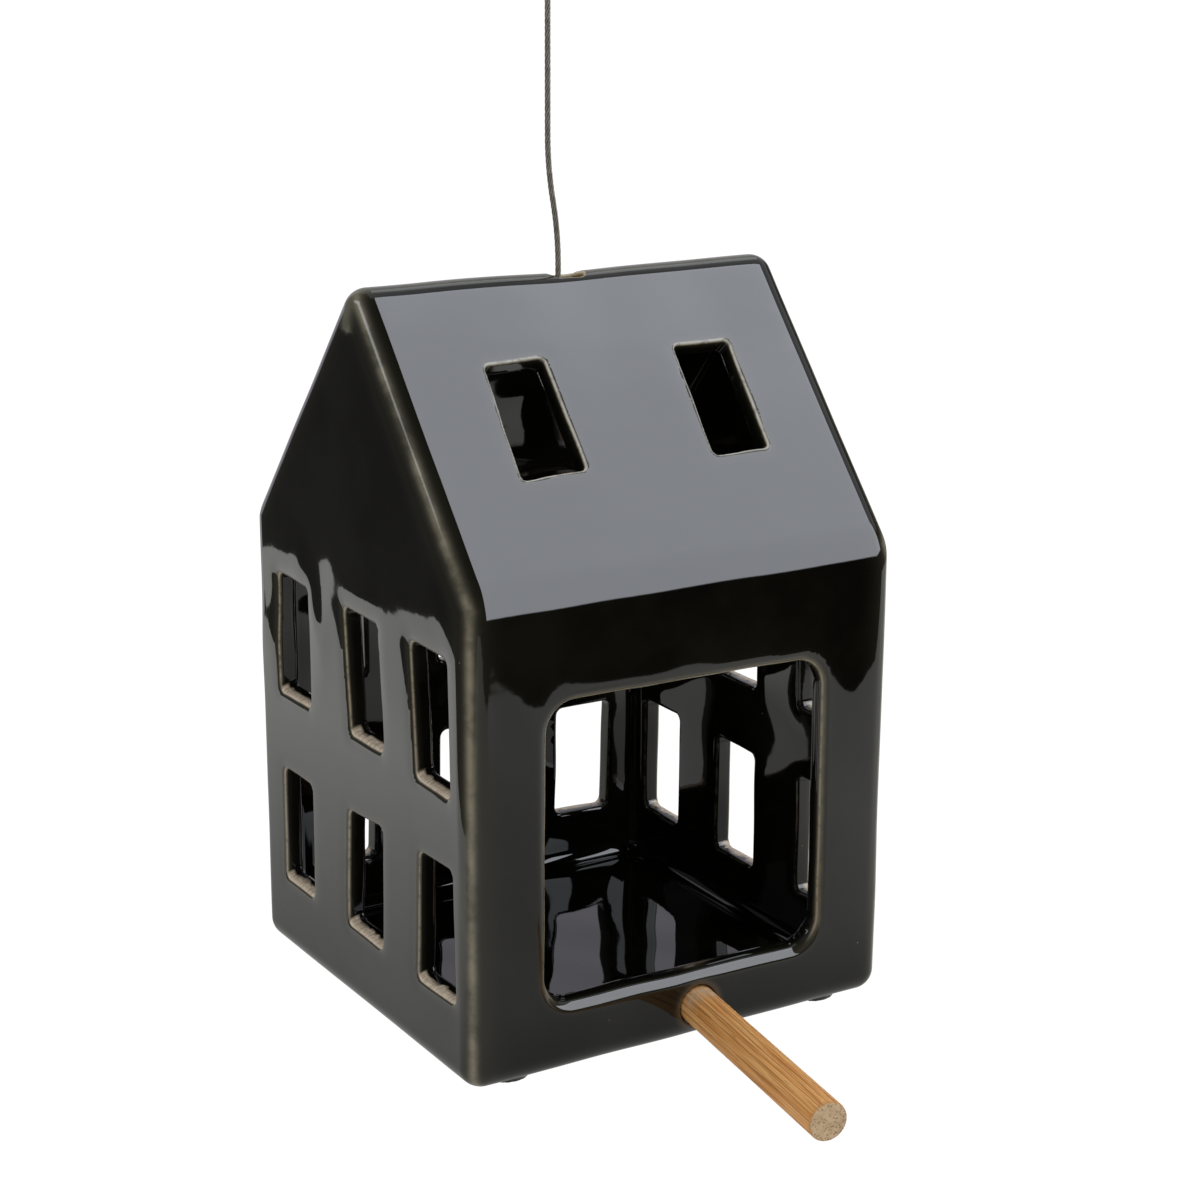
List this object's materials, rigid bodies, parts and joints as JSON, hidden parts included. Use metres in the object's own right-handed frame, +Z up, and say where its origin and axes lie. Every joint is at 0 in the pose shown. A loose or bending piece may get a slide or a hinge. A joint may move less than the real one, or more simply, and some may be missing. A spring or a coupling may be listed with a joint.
{
  "type": "hanging bird feeder",
  "caption": "Glazed ceramic gabled house that holds bird seed behind a large front opening, with a bamboo perch and a wire hanging cable.",
  "frame": {"origin": "in the plane the four moulded feet stand on, under the middle of the whole feeder's box, so midway between the side walls and midway between the back wall and the perch's outer end; the house's own middle is 33.04 mm behind it", "axes": "+Z up along the hanging cable, +X along the roof ridge towards the right-hand gable, -Y out of the front opening and along the perch"},
  "size_m": [0.123, 0.184, 0.3732],
  "materials": {
    "glaze": "gloss",
    "bamboo": "satin",
    "cable_steel": "satin",
    "ferrule_metal": "satin",
    "toggle_bamboo": "matte"
  },
  "bodies": {
    "hanger": {"hanging_cable": "cable_steel", "loop_ferrule": "ferrule_metal", "stop_ferrule": "ferrule_metal"},
    "toggle": {"toggle_bar": "toggle_bamboo"},
    "house": {"house_body": "glaze"},
    "perch": {"perch_dowel": "bamboo"}
  },
  "joints": [
    {"name": "cable_swivel", "type": "hinge", "parent": "hanger", "child": "toggle", "pos_m": [-0.0024, 0.03304, 0.17788], "axis": [0, 0, 1], "continuous": true},
    {"name": "ridge_rock", "type": "hinge", "parent": "toggle", "child": "house", "pos_m": [-0.0024, 0.03304, 0.17788], "axis": [1, 0, 0], "range_deg": [-9, 9]},
    {"name": "perch_pull", "type": "slide", "parent": "house", "child": "perch", "axis": [-0.1219, -0.9924, -0.0175], "range_m": [0, 0.012]}
  ]
}
